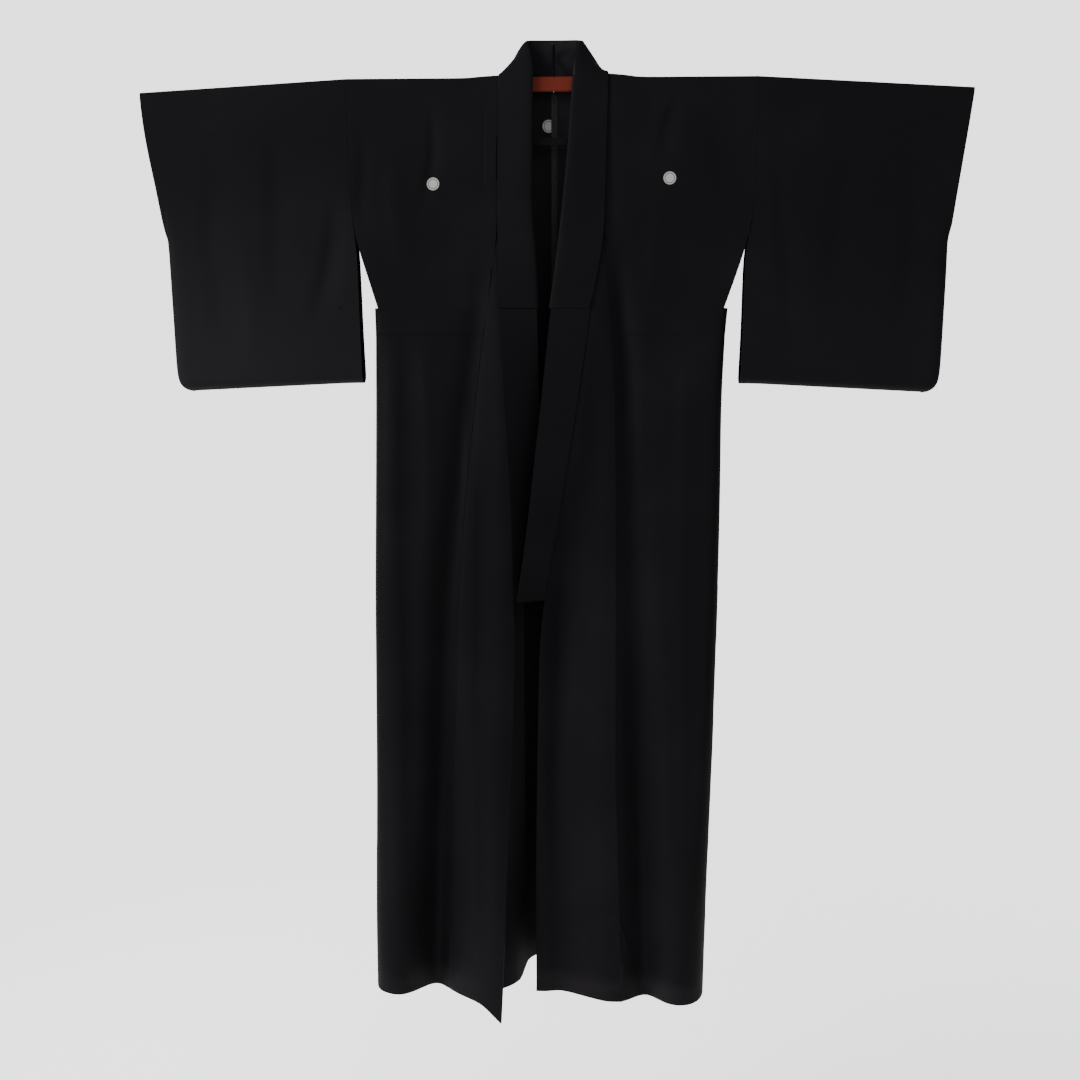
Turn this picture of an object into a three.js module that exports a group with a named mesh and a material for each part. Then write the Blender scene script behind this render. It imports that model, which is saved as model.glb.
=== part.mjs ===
// A mourning kimono on its hanger: one layer of black silk, worn by no one, its fronts hanging ajar.
// Millimetres. X runs to the right as seen from the front, Y away from the viewer, Z up.
// Heights in the tables are measured from the line of the shoulders. The whole is lowered at the end, so
// that the origin lies under the crown of the hook, where a rail carries it. Right and left are the wearer's.
import * as THREE from 'three';

// Walls and seams
const CLOTH = 1.4;
const SEAM = 0.3;
const TUCK_STEP = 1.2;
const BAND = 2.8;
const OVER_BAND = 1.0;
const TAPE = 0.9;

// Heights below the shoulder line
const HEM = -1580;
const COLLAR_END = -868;
const TUCK = -418;
const VENT_END = -375;
const OKUMI_TOP = -264;
const ARMHOLE_END = -222;
const CUFF_END = -245;
const HEM_LIFT_FROM = -1400;

// Cloth folded over the arms of the hanger
const ARM_HALF = 4;
const OVER_ARM = ARM_HALF + SEAM + CLOTH / 2;
const ARM_TURNS = [45, 90, 135];

// Neck, body and sleeve widths, counted in columns of the cloth
const NECK_HALF = 90;
const BUNCH_END = 150;
const NECK_COLUMNS = [62, 50, 25, 0];
const BODY_COLUMNS = 11;
const OKUMI_COLUMNS = 6;
const SIDE_TURNS = [45, 90, 135];

// Collar
const NECK_DEPTH = 24;
const COLLAR_HEIGHT = 60.5;
const COLLAR_COLUMNS = [0, 0.12, 0.56, 1];

// Sleeve
const CUFF_X = 686;
const CUFF_DROOP = -20;
const SLEEVE_CORNER = 28;
const SLEEVE_SEAM_ROUND = 12;
const SLEEVE_BOTTOM_INNER = -501;
const SLEEVE_BOTTOM_OUTER = -518;
const SLEEVE_WIDTH = 340;
const SLEEVE_EDGE_COLUMNS = [0, 4, 14];
const SLEEVE_COLUMNS = 11;

// Tape over the back seam, from its edge beside the crest
const TAPE_START = -4;
const TAPE_WIDTH = 10;

// Hanger
const HOOK_DROP = 50;
const HOOK_RADIUS = 14;
const WIRE = 2.25;
const BAR_HALF_LENGTH = 160;
const BAR_HEIGHT = 24;
const BAR_MIDDLE = 62;
const BAR_MIDDLE_RISE = 2.4;
const BAR_MIDDLE_HALF = 3.2;
const BAR_RISE_RUN = 15;
const BAR_THIN_END = 100;
const BAR_THICK_FROM = 115;
const BAR_CHAMFER = 2;
const ARM_HEIGHT = 14;
const ARM_END = 600;
const LOWER_BAR_TOP = -97;
const LOWER_BAR_HEIGHT = 12;
const LOWER_BAR_HALF_LENGTH = 150;
const LOWER_BAR_HALF_DEPTH = 2.5;
const LINK_WIDTH = 8;
const LINK_INSET = 6;

// Each section of a front, from the top down: the side of the body, the seam between the body panel and the
// overlap panel, that panel's own edge, and the fold of the collar beside it. Y is how deep each one hangs.
// Bunch is how far the cloth stands up beside the collar. The sleeve's own rows give how far its open inner
// edge hangs in toward the body, and where its outer edge is. Hem gives how far the hem drops below its line.
const RIGHT = {
  name: 'right',
  sign: -1,
  bunch: 3.5,
  edgeReach: { top: 55, hem: 105 },
  sections: [
    { z: -5, side: -342.5, seam: -90, edge: -90, edgeY: -5, fold: -36.5, foldY: -11 },
    { z: -100, side: -341.5, seam: -91.5, edge: -91.5, edgeY: -12, fold: -37, foldY: -15 },
    { z: -222, side: -335, seam: -92.5, edge: -92.5, edgeY: -15, fold: -36.8, foldY: -18 },
    { z: -264, side: -328.5, seam: -93.4, edge: -92.2, edgeY: -17, fold: -33, foldY: -19 },
    { z: -320, side: -310.5, seam: -101, edge: -91.2, edgeY: -18, fold: -28.5, foldY: -20 },
    { z: -375, side: -300.5, seam: -109, edge: -89.7, edgeY: -19, fold: -26.4, foldY: -21 },
    { z: -418, side: -299.5, seam: -115, edge: -87, edgeY: -19, fold: -25.5, foldY: -16 },
    { z: -520, side: -301, seam: -129, edge: -80.5, edgeY: -18, fold: -24, foldY: -4 },
    { z: -700, side: -305, seam: -148, edge: -70.3, edgeY: -14, fold: -18, foldY: 8 },
    { z: -868, side: -309, seam: -160, edge: -67.3, edgeY: -11, fold: -17, foldY: 16 },
    { z: -941, side: -309.7, seam: -163, edge: -63.5, edgeY: -13, fold: -17, foldY: 16 },
    { z: -1190, side: -312.5, seam: -172, edge: -71, edgeY: -20, fold: -17, foldY: 16 },
    { z: -1280, side: -314.5, seam: -174, edge: -75, edgeY: -28, fold: -17, foldY: 16 },
    { z: -1460, side: -318, seam: -178, edge: -80.7, edgeY: -52, fold: -17, foldY: 16 },
    { z: -1580, side: -318, seam: -181, edge: -86.8, edgeY: -62, fold: -17, foldY: 16 },
  ],
  sleeve: [
    { z: 0, inward: 0, outer: 689 },
    { z: -45, inward: 0, outer: 684.5 },
    { z: -111, inward: 0, outer: 674.5 },
    { z: -177, inward: 0, outer: 660 },
    { z: -222, inward: 0, outer: 653 },
    { z: -245, inward: 3, outer: 650 },
    { z: -282, inward: 8, outer: 648.5 },
    { z: -420, inward: 11.5, outer: 643.5 },
    { z: -501, inward: 14.5, outer: 641.5 },
  ],
  hem: [
    { x: -318, drop: -3 },
    { x: -230, drop: 3 },
    { x: -190, drop: 7 },
    { x: -158, drop: 3 },
    { x: -130, drop: 1 },
    { x: -108, drop: 9 },
    { x: -86, drop: 30 },
  ],
};
const LEFT = {
  name: 'left',
  sign: 1,
  bunch: 5.5,
  edgeReach: { top: 60, hem: 45 },
  sections: [
    { z: -5, side: 335.3, seam: 91, edge: 91, edgeY: -5, fold: 34.3, foldY: -11 },
    { z: -100, side: 335, seam: 88, edge: 88, edgeY: -12, fold: 28.5, foldY: -16 },
    { z: -222, side: 330, seam: 85.3, edge: 85.3, edgeY: -16, fold: 17, foldY: -20 },
    { z: -264, side: 321.5, seam: 86, edge: 84.4, edgeY: -18, fold: 12, foldY: -21 },
    { z: -320, side: 304, seam: 90.5, edge: 73.5, edgeY: -22, fold: 5.5, foldY: -24 },
    { z: -375, side: 291.7, seam: 95.5, edge: 62.8, edgeY: -24, fold: -3, foldY: -25 },
    { z: -418, side: 288, seam: 98.5, edge: 57.3, edgeY: -25, fold: -7.5, foldY: -26.5 },
    { z: -520, side: 283.8, seam: 105, edge: 44, edgeY: -29, fold: -17.7, foldY: -34 },
    { z: -700, side: 285, seam: 107.5, edge: 14, edgeY: -31, fold: -37, foldY: -45 },
    { z: -790, side: 284.5, seam: 108, edge: 0.5, edgeY: -28, fold: -46.7, foldY: -49 },
    { z: -868, side: 283.8, seam: 108.8, edge: -13.3, edgeY: -24, fold: -59, foldY: -50 },
    { z: -941, side: 283, seam: 108.9, edge: -21.9, edgeY: -24, fold: -59, foldY: -50 },
    { z: -1190, side: 279, seam: 109.5, edge: -26.5, edgeY: -14, fold: -59, foldY: -50 },
    { z: -1370, side: 274.2, seam: 117, edge: -28.5, edgeY: -6, fold: -59, foldY: -50 },
    { z: -1580, side: 271, seam: 122.4, edge: -28, edgeY: -3, fold: -59, foldY: -50 },
  ],
  sleeve: [
    { z: 0, inward: 0, outer: 686 },
    { z: -222, inward: 0, outer: 654 },
    { z: -245, inward: 4.2, outer: 651.5 },
    { z: -282, inward: 12.5, outer: 652 },
    { z: -420, inward: 14.5, outer: 648.5 },
    { z: -501, inward: 17.5, outer: 646.5 },
  ],
  hem: [
    { x: -25, drop: 0 },
    { x: 60, drop: 1 },
    { x: 98, drop: 5 },
    { x: 200, drop: 7 },
    { x: 240, drop: 7 },
    { x: 271, drop: 9 },
  ],
};

// How far the plain cloth hangs before and behind the arms, and how widely the side of the body turns
const HANG = [
  { z: -5, front: 5, back: 5, sideTurn: 6 },
  { z: -60, front: 10, back: 11, sideTurn: 6 },
  { z: -222, front: 15, back: 17, sideTurn: 6 },
  { z: -418, front: 18, back: 22, sideTurn: 8 },
  { z: -868, front: 20, back: 45, sideTurn: 14 },
  { z: -1580, front: 22, back: 80, sideTurn: 26 },
];

// Folds of the hanging cloth. A fold starts at top and deepens down to the hem; toY is its depth there,
// away from the viewer when positive. Sharp folds have a flatter crown and steeper flanks.
const FRONT_FOLDS = [
  { name: 'right trough', top: -280, topX: -115, midZ: -870, midX: -181, hemX: -208, width: 12, toWidth: 34,
    y: 5, toY: 56, sharp: 2 },
  { name: 'right overlap ridge', top: -330, topX: -86, midZ: -870, midX: -82, hemX: -90, width: 22, toWidth: 32,
    y: -7, toY: -14, sharp: 2 },
  { name: 'right side ridge', top: -400, topX: -262, midZ: -1100, midX: -266, hemX: -272, width: 16, toWidth: 22,
    y: -4, toY: -9, sharp: 2 },
  { name: 'left trough', top: -230, topX: 98, midZ: -520, midX: 130, hemX: 166, width: 12, toWidth: 30,
    y: 7, toY: 27, sharp: 2 },
  { name: 'left ridge', top: -500, topX: 200, midZ: -1000, midX: 205, hemX: 212, width: 26, toWidth: 34,
    y: 0, toY: -14, sharp: 2 },
  { name: 'left overlap ridge', top: -380, topX: 90, midZ: -700, midX: 101, hemX: 110, width: 18, toWidth: 32,
    y: -3, toY: -12, sharp: 2 },
  { name: 'left overlap hollow', top: -640, topX: 45, midZ: -868, midX: 14, hemX: 8, width: 13, toWidth: 17,
    y: 4, toY: 11, sharp: 2 },
];
const BACK_FOLDS = [
  { name: 'fold behind the right front', top: -1000, topX: -105, midZ: -1300, midX: -103, hemX: -100, width: 38,
    toWidth: 48, y: 0, toY: -84, sharp: 6 },
  { name: 'middle hollow', top: -700, topX: 8, midZ: -1100, midX: -1, hemX: -9, width: 50, toWidth: 56,
    y: 0, toY: 40, sharp: 2 },
  { name: 'left ridge', top: -500, topX: 150, midZ: -1000, midX: 158, hemX: 165, width: 26, toWidth: 34,
    y: 0, toY: -24, sharp: 2 },
  { name: 'right side hollow', top: -600, topX: -215, midZ: -1000, midX: -220, hemX: -228, width: 24, toWidth: 30,
    y: 0, toY: 18, sharp: 2 },
];

// Rows of the body panels, from the hem up
const BODY_ROWS = [HEM, -1535, -1460, -1370, -1280, -1190, -1065, -941, COLLAR_END, -790, -700, -610, -520,
  TUCK - 1, TUCK + 1, VENT_END, -320, OKUMI_TOP, ARMHOLE_END, -160, -100, -50, -20, -5];

const smooth = (t) => {
  const s = Math.min(Math.max(t, 0), 1);
  return s * s * (3 - 2 * s);
};
const mix = (a, b, t) => a + (b - a) * t;
const radians = (degrees) => degrees * Math.PI / 180;

// A value of a table between its two nearest rows, which run from small x to large
function readAcross(rows, x, column) {
  const beyond = rows.findIndex((row) => row.x >= x);
  if (beyond === 0) return rows[0][column];
  if (beyond < 0) return rows[rows.length - 1][column];
  const before = rows[beyond - 1];
  const after = rows[beyond];
  return mix(before[column], after[column], (x - before.x) / (after.x - before.x));
}

// The same for a table whose rows run from the top down
function read(rows, z, column) {
  const below = rows.findIndex((row) => row.z <= z);
  if (below === 0) return rows[0][column];
  if (below < 0) return rows[rows.length - 1][column];
  const upper = rows[below - 1];
  const lower = rows[below];
  return mix(upper[column], lower[column], (upper.z - z) / (upper.z - lower.z));
}

// Depth that a table of folds adds at one point of the cloth
function foldDepth(folds, x, z) {
  let depth = 0;
  for (const fold of folds) {
    if (z >= fold.top) continue;
    const fall = (fold.top - z) / (fold.top - HEM);
    const centre = z > fold.midZ
      ? mix(fold.topX, fold.midX, (fold.top - z) / (fold.top - fold.midZ))
      : mix(fold.midX, fold.hemX, (fold.midZ - z) / (fold.midZ - HEM));
    const across = Math.abs(x - centre) / mix(fold.width, fold.toWidth, fall);
    const start = smooth((fold.top - z) / 80);
    depth += start * mix(fold.y, fold.toY, Math.pow(fall, 1.4)) * Math.exp(-Math.pow(across, fold.sharp));
  }
  return depth;
}

// The step of the tuck that takes up the body's length at the waist. It dies away toward the panel's inner
// edge, which lies level with its neighbour.
function tuckStep(z, fromEdge) {
  return z > TUCK ? -TUCK_STEP * smooth(1 - (z - TUCK) / 60) * smooth(fromEdge / 25) : 0;
}

function frontDepth(side, x, z) {
  const plain = -read(HANG, z, 'front');
  const edge = read(side.sections, z, 'edge');
  const reach = mix(side.edgeReach.top, side.edgeReach.hem, smooth(z / HEM));
  const fromEdge = 1 - smooth(side.sign * (x - edge) / reach);
  const lift = (read(side.sections, z, 'edgeY') - plain) * fromEdge;
  return plain + lift + foldDepth(FRONT_FOLDS, x, z);
}

// The direction, toward the viewer, in which the wall stands where two pieces are sewn edge to edge
function seamNormal(depthAt, x, z) {
  const step = 1;
  const across = depthAt(x + step, z) - depthAt(x - step, z);
  const down = depthAt(x, z + step) - depthAt(x, z - step);
  return new THREE.Vector3(across / (2 * step), -1, down / (2 * step)).normalize();
}

// The height at which a row of the cloth lies, which the uneven hem moves
function hemmed(side, x, z) {
  return z - readAcross(side.hem, x, 'drop') * smooth((HEM_LIFT_FROM - z) / (HEM_LIFT_FROM - HEM));
}

function backDepth(x, z) {
  const plain = read(HANG, z, 'back');
  const neck = (NECK_DEPTH - OVER_ARM) * smooth((NECK_HALF - Math.abs(x)) / 50) * smooth((z + 700) / 500);
  return plain + neck + foldDepth(BACK_FOLDS, x, z);
}

// A sheet of cloth: points joined by four-sided faces, then given a wall about its middle surface. Faces
// turn so that their fronts look out of the garment. Where a point is squared, its wall stands along a
// given direction, so that an edge butts flat against its neighbour.
class Sheet {
  constructor() {
    this.points = [];
    this.places = new Map();
    this.faces = [];
    this.squared = new Map();
  }

  point(x, y, z) {
    const key = [x, y, z].map((value) => Math.round(value * 50)).join(' ');
    if (!this.places.has(key)) {
      this.places.set(key, this.points.length);
      this.points.push(new THREE.Vector3(x, y, z));
    }
    return this.places.get(key);
  }

  face(a, b, c, d) {
    const corners = [a, b, c, d].filter((value, i, all) => all.indexOf(value) === i);
    if (corners.length >= 3) this.faces.push(corners);
  }

  // Faces between rows of points. From one column on, the faces may be halved along their other diagonal,
  // where the cloth doubles back over a neighbour and has to follow that neighbour's own halves.
  rows(grid, turned = false, otherHalves = Infinity) {
    for (let i = 1; i < grid.length; i += 1) {
      for (let j = 1; j < grid[i].length; j += 1) {
        const corners = [grid[i - 1][j - 1], grid[i - 1][j], grid[i][j], grid[i][j - 1]];
        if (turned) corners.reverse();
        if (j > otherHalves) corners.push(corners.shift());
        this.face(...corners);
      }
    }
  }

  normals() {
    const normals = this.points.map(() => new THREE.Vector3());
    for (const face of this.faces) {
      const [a, b, c] = face.map((i) => this.points[i]);
      const d = this.points[face[face.length - 1]];
      const across = new THREE.Vector3().subVectors(c, a);
      const other = face.length === 4 ? new THREE.Vector3().subVectors(d, b) : new THREE.Vector3().subVectors(c, b);
      const normal = across.cross(other).normalize();
      for (const i of face) normals[i].add(normal);
    }
    return normals.map((normal) => normal.normalize());
  }

  // The closed wall: its outer skin, its inner skin and a strip along every open edge
  wall(thickness) {
    const count = this.points.length;
    const normals = this.normals().map((normal, i) => this.squared.get(i) ?? normal);
    const half = (i) => (typeof thickness === 'function' ? thickness(i) : thickness) / 2;
    const outer = this.points.map((p, i) => p.clone().addScaledVector(normals[i], half(i)));
    const inner = this.points.map((p, i) => p.clone().addScaledVector(normals[i], -half(i)));
    const index = [];
    const edges = new Map();
    for (const face of this.faces) {
      for (let k = 2; k < face.length; k += 1) {
        index.push(face[0], face[k - 1], face[k]);
        index.push(count + face[0], count + face[k], count + face[k - 1]);
      }
      face.forEach((from, k) => {
        const to = face[(k + 1) % face.length];
        const reverse = `${to} ${from}`;
        if (edges.has(reverse)) edges.delete(reverse);
        else edges.set(`${from} ${to}`, [from, to]);
      });
    }
    for (const [from, to] of edges.values()) {
      index.push(to, from, count + from, to, count + from, count + to);
    }
    const geometry = new THREE.BufferGeometry();
    const positions = [...outer, ...inner].flatMap((p) => [p.x, p.y, p.z]);
    geometry.setAttribute('position', new THREE.Float32BufferAttribute(positions, 3));
    geometry.setIndex(index);
    return geometry;
  }
}

// A solid through rings with the same number of points, closed by a flat face at each end
function loft(rings) {
  const size = rings[0].length;
  const positions = rings.flat().flatMap((p) => [p.x, p.y, p.z]);
  const index = [];
  for (let ring = 1; ring < rings.length; ring += 1) {
    for (let k = 0; k < size; k += 1) {
      const a = (ring - 1) * size + k;
      const b = (ring - 1) * size + (k + 1) % size;
      index.push(a, b + size, b, a, a + size, b + size);
    }
  }
  const last = (rings.length - 1) * size;
  for (let k = 2; k < size; k += 1) {
    index.push(0, k - 1, k);
    index.push(last, last + k, last + k - 1);
  }
  const geometry = new THREE.BufferGeometry();
  geometry.setAttribute('position', new THREE.Float32BufferAttribute(positions, 3));
  geometry.setIndex(index);
  return geometry;
}

// One front and half the back, cut in one length from front hem over the shoulder to back hem. Its inner
// edge meets the collar and the overlap panel; behind, it runs on to the centre back seam.
function bodyPanel(side) {
  const sheet = new Sheet();
  const at = (z, column) => read(side.sections, z, column);
  const hasSide = (z) => z <= VENT_END;
  const outerX = (z) => at(z, 'side') - side.sign * (hasSide(z) ? read(HANG, z, 'sideTurn') : SEAM / 2);
  const frontRow = (z) => {
    const inner = at(z, 'seam') + side.sign * SEAM / 2;
    const row = Array.from({ length: BODY_COLUMNS + 1 }, (_, j) => {
      const x = mix(inner, outerX(z), j / BODY_COLUMNS);
      return sheet.point(x, frontDepth(side, x, z) + tuckStep(z, Math.abs(x - inner)), hemmed(side, x, z));
    });
    const depthAt = (x, height) => frontDepth(side, x, height);
    if (z < OKUMI_TOP) sheet.squared.set(row[0], seamNormal(depthAt, at(z, 'seam'), z));
    return row;
  };
  const backRow = (z) => {
    const outer = Array.from({ length: BODY_COLUMNS + 1 }, (_, j) => {
      const x = mix(side.sign * NECK_HALF, outerX(z), j / BODY_COLUMNS);
      return sheet.point(x, backDepth(x, z) - tuckStep(z, Math.abs(x)), z);
    });
    const inner = NECK_COLUMNS.map((column) => {
      const x = side.sign * Math.max(column, SEAM / 2);
      return sheet.point(x, backDepth(x, z) - tuckStep(z, Math.abs(x)), z);
    });
    if (z < ARMHOLE_END) sheet.squared.set(inner[inner.length - 1], seamNormal(backDepth, 0, z).negate());
    return [...inner.reverse(), ...outer];
  };
  const top = BODY_ROWS[BODY_ROWS.length - 1];
  const overArm = ARM_TURNS.map((turn) => Array.from({ length: BODY_COLUMNS + 1 }, (_, j) => {
    const frontX = mix(at(top, 'seam') + side.sign * SEAM / 2, outerX(top), j / BODY_COLUMNS);
    const backX = mix(side.sign * NECK_HALF, outerX(top), j / BODY_COLUMNS);
    const a = radians(turn);
    const x = mix(frontX, backX, turn / 180);
    const bunch = side.bunch * smooth((BUNCH_END - Math.abs(x)) / (BUNCH_END - NECK_HALF));
    return sheet.point(x, -OVER_ARM * Math.cos(a), top + (OVER_ARM + bunch) * Math.sin(a));
  }));
  const front = BODY_ROWS.map(frontRow);
  const back = BODY_ROWS.map(backRow);
  const inside = NECK_COLUMNS.length;
  const sideRows = BODY_ROWS.filter(hasSide).map((z, i) => {
    const x = outerX(z);
    const nearY = frontDepth(side, x, z) + tuckStep(z, Math.abs(x));
    const farY = backDepth(x, z) - tuckStep(z, Math.abs(x));
    const turns = SIDE_TURNS.map((turn) => {
      const a = radians(turn);
      const outward = side.sign * read(HANG, z, 'sideTurn') * Math.sin(a);
      const height = mix(hemmed(side, x, z), z, turn / 180);
      return sheet.point(x + outward, (nearY + farY) / 2 - (farY - nearY) / 2 * Math.cos(a), height);
    });
    return [front[i][BODY_COLUMNS], ...turns, back[i][inside + BODY_COLUMNS]];
  });
  const turned = side.sign < 0;
  sheet.rows(front, turned);
  sheet.rows([front[front.length - 1], ...overArm, back[back.length - 1].slice(inside)], turned);
  sheet.rows(back, !turned);
  sheet.rows(sideRows, turned);
  sheet.neck = [
    ...front.slice(BODY_ROWS.indexOf(ARMHOLE_END)).map((row) => row[0]),
    ...overArm.map((row) => row[0]),
    ...back[back.length - 1].slice(0, inside + 1).reverse(),
  ];
  return sheet;
}

// The overlap panel: a point under the collar that widens to its full width where the collar ends
function okumi(side) {
  const sheet = new Sheet();
  const rows = BODY_ROWS.filter((z) => z <= OKUMI_TOP);
  const grid = rows.map((z) => {
    const middle = read(side.sections, z, 'seam');
    const seam = middle - side.sign * SEAM / 2;
    const edge = read(side.sections, z, 'edge');
    const row = Array.from({ length: OKUMI_COLUMNS + 1 }, (_, j) => {
      const x = mix(edge, seam, j / OKUMI_COLUMNS);
      return sheet.point(x, frontDepth(side, x, z), hemmed(side, x, z));
    });
    const depthAt = (x, height) => frontDepth(side, x, height);
    if (z < OKUMI_TOP) sheet.squared.set(row[OKUMI_COLUMNS], seamNormal(depthAt, middle, z));
    return row;
  });
  sheet.rows(grid, side.sign < 0);
  sheet.collarEdge = grid.slice(rows.indexOf(COLLAR_END)).map((row) => row[0]);
  return sheet;
}

// A sleeve, folded at the top over the arm. It is sewn along the bottom and up the outer edge to the cuff,
// with a rounded corner; the inner edge is sewn to the body down to the end of the armhole, then open.
function sleeve(side) {
  const sheet = new Sheet();
  const depthRows = [ARMHOLE_END - 60, -350, -420, SLEEVE_BOTTOM_INNER + SLEEVE_CORNER,
    SLEEVE_BOTTOM_INNER + 12, SLEEVE_BOTTOM_INNER + 4, SLEEVE_BOTTOM_INNER];
  const rows = [...BODY_ROWS.filter((z) => z >= ARMHOLE_END).reverse(), CUFF_END, ...depthRows];
  const innerEdge = (z) => {
    const sewn = read(side.sections, Math.max(z, ARMHOLE_END), 'side');
    return sewn + side.sign * (SEAM / 2 - read(side.sleeve, z, 'inward'));
  };
  const outerEdge = (z) => {
    const rise = Math.max(SLEEVE_CORNER - (z - SLEEVE_BOTTOM_INNER), 0);
    const rounding = SLEEVE_CORNER - Math.sqrt(SLEEVE_CORNER ** 2 - rise ** 2);
    return side.sign * (read(side.sleeve, z, 'outer') - rounding);
  };
  const nearest = SLEEVE_EDGE_COLUMNS[SLEEVE_EDGE_COLUMNS.length - 1];
  const width = (SLEEVE_WIDTH - nearest) / SLEEVE_COLUMNS;
  const even = Array.from({ length: SLEEVE_COLUMNS }, (_, j) => nearest + (j + 1) * width);
  const share = [...SLEEVE_EDGE_COLUMNS, ...even].map((distance) => 1 - distance / SLEEVE_WIDTH).reverse();
  const place = (z, u) => {
    const x = mix(innerEdge(z), outerEdge(z), u);
    const out = Math.max((Math.abs(x) - Math.abs(innerEdge(-5))) / (CUFF_X - Math.abs(innerEdge(-5))), 0);
    const top = CUFF_DROOP * out;
    const bottom = mix(SLEEVE_BOTTOM_INNER, SLEEVE_BOTTOM_OUTER, out);
    return { x, z: top + z * (bottom - top) / SLEEVE_BOTTOM_INNER };
  };
  const roundness = (distance) => {
    const t = 1 - Math.min(distance / SLEEVE_SEAM_ROUND, 1);
    return Math.sqrt(1 - t * t);
  };
  const layer = (toward) => rows.map((z) => share.map((u) => {
    const { x, z: height } = place(z, u);
    const front = read(HANG, z, 'front');
    const back = read(HANG, z, 'back');
    const belowCuff = z <= CUFF_END ? roundness(Math.abs(outerEdge(z) - x)) : 1;
    const half = (front + back) / 2 * belowCuff * roundness(z - SLEEVE_BOTTOM_INNER);
    return sheet.point(x, (back - front) / 2 + toward * half, height);
  }));
  const front = layer(-1);
  const back = layer(1);
  const overArm = ARM_TURNS.map((turn) => share.map((u) => {
    const a = radians(turn);
    const { x, z } = place(rows[0], u);
    return sheet.point(x, -OVER_ARM * Math.cos(a), z + OVER_ARM * Math.sin(a));
  }));
  const turned = side.sign > 0;
  sheet.rows([...front].reverse().concat(overArm, back), !turned);
  return sheet;
}

// Where the fold of the collar stands beside each step of its seam, from the front over the shoulder to the
// centre back
const NECK_FOLD = [
  { x: 35.5, y: -12, z: 4 },
  { x: 36.5, y: -8, z: 16 },
  { x: 38, y: -2, z: 29 },
  { x: 41, y: 6, z: 45 },
  { x: 46, y: 15, z: COLLAR_HEIGHT - 1.5 },
  { x: 39, y: 21, z: COLLAR_HEIGHT },
  { x: 31, y: 22.5, z: COLLAR_HEIGHT },
  { x: 17, y: NECK_DEPTH, z: COLLAR_HEIGHT },
];

// One half of the collar's line: the seam on the cloth, its outward direction and the fold beside it
function collarStations(side, panel, overlap) {
  const stations = [];
  const add = (sheet, i, fold) => {
    const normal = sheet.normals()[i];
    stations.push({ seam: sheet.points[i].clone(), normal, fold });
  };
  const foldAt = (z) => new THREE.Vector3(
    read(side.sections, z, 'fold'), read(side.sections, z, 'foldY'), z);
  for (const i of overlap.collarEdge) add(overlap, i, foldAt(overlap.points[i].z));
  const front = panel.neck.length - NECK_FOLD.length - 1;
  panel.neck.slice(0, -1).forEach((i, k) => {
    const row = NECK_FOLD[k - front];
    add(panel, i, row ? new THREE.Vector3(side.sign * row.x, row.y, row.z) : foldAt(panel.points[i].z));
  });
  return stations;
}

// How far the seam's edge is moved off the cloth at one station, square to the seam on both sides of it
function seamGap(stations, k) {
  const { seam, normal, fold } = stations[k];
  const toward = new THREE.Vector3().subVectors(fold, seam);
  const square = (from, to) => {
    const along = new THREE.Vector3().subVectors(to, from);
    const away = along.cross(normal).normalize();
    return away.dot(toward) < 0 ? away.negate() : away;
  };
  const before = square(stations[Math.max(k - 1, 0)].seam, k > 0 ? seam : stations[1].seam);
  const after = k < stations.length - 1 ? square(seam, stations[k + 1].seam) : before;
  return before.clone().add(after).multiplyScalar(SEAM / (1 + before.dot(after)));
}

// The collar: a doubled band along the whole neck, from one front over the shoulders to the other
function collar(right, left, centre) {
  const stations = [...right, centre, ...left.reverse()];
  const sheet = new Sheet();
  const grid = stations.map(({ seam, normal, fold }, k) => {
    const start = seam.clone().add(seamGap(stations, k)).addScaledVector(normal, (BAND - CLOTH) / 2);
    const row = COLLAR_COLUMNS.map((t) => {
      const p = new THREE.Vector3().lerpVectors(start, fold, t);
      return sheet.point(p.x, p.y, p.z);
    });
    sheet.squared.set(row[0], normal);
    return row;
  });
  sheet.rows(grid);
  sheet.grid = grid;
  return sheet;
}

// The over-collar: a second strip that wraps the collar's fold from the middle of one chest to the other
function overCollar(band) {
  const sheet = new Sheet();
  const normals = band.normals().map((normal, i) => band.squared.get(i) ?? normal);
  const lift = BAND / 2 + 2.2 * SEAM + OVER_BAND / 2;
  const covered = band.grid.filter((row) => band.points[row[0]].z > VENT_END - 1);
  const grid = covered.map((row) => {
    const moved = (j, amount) => band.points[row[j]].clone().addScaledVector(normals[row[j]], amount);
    const last = row.length - 1;
    const outward = new THREE.Vector3().subVectors(band.points[row[last]], band.points[row[last - 1]]).normalize();
    const points = [
      ...row.map((_, j) => moved(j, lift)),
      moved(last, 0).addScaledVector(outward, lift),
      ...row.slice(1).map((_, j) => moved(last - j, -lift)),
    ];
    const places = points.map((p) => sheet.point(p.x, p.y, p.z));
    row.forEach((i, j) => {
      sheet.squared.set(places[j], normals[i]);
      if (j > 0) sheet.squared.set(places[places.length - j], normals[i].clone().negate());
    });
    return places;
  });
  sheet.rows(grid, false, COLLAR_COLUMNS.length);
  return sheet;
}

// The tape that binds the centre back seam inside
function backTape() {
  const sheet = new Sheet();
  const rows = BODY_ROWS.filter((z) => z > HEM && z < -5);
  const depth = CLOTH / 2 + SEAM + TAPE / 2;
  const grid = rows.map((z) => [TAPE_START, TAPE_START + TAPE_WIDTH].map((x) => {
    const beside = Math.sign(x) * NECK_COLUMNS[2];
    const slope = (backDepth(beside, z) - tuckStep(z, NECK_COLUMNS[2]) - backDepth(0, z)) / beside;
    return sheet.point(x, backDepth(0, z) + slope * x - depth * Math.hypot(1, slope), z);
  }));
  sheet.rows(grid, false);
  return sheet;
}

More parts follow.
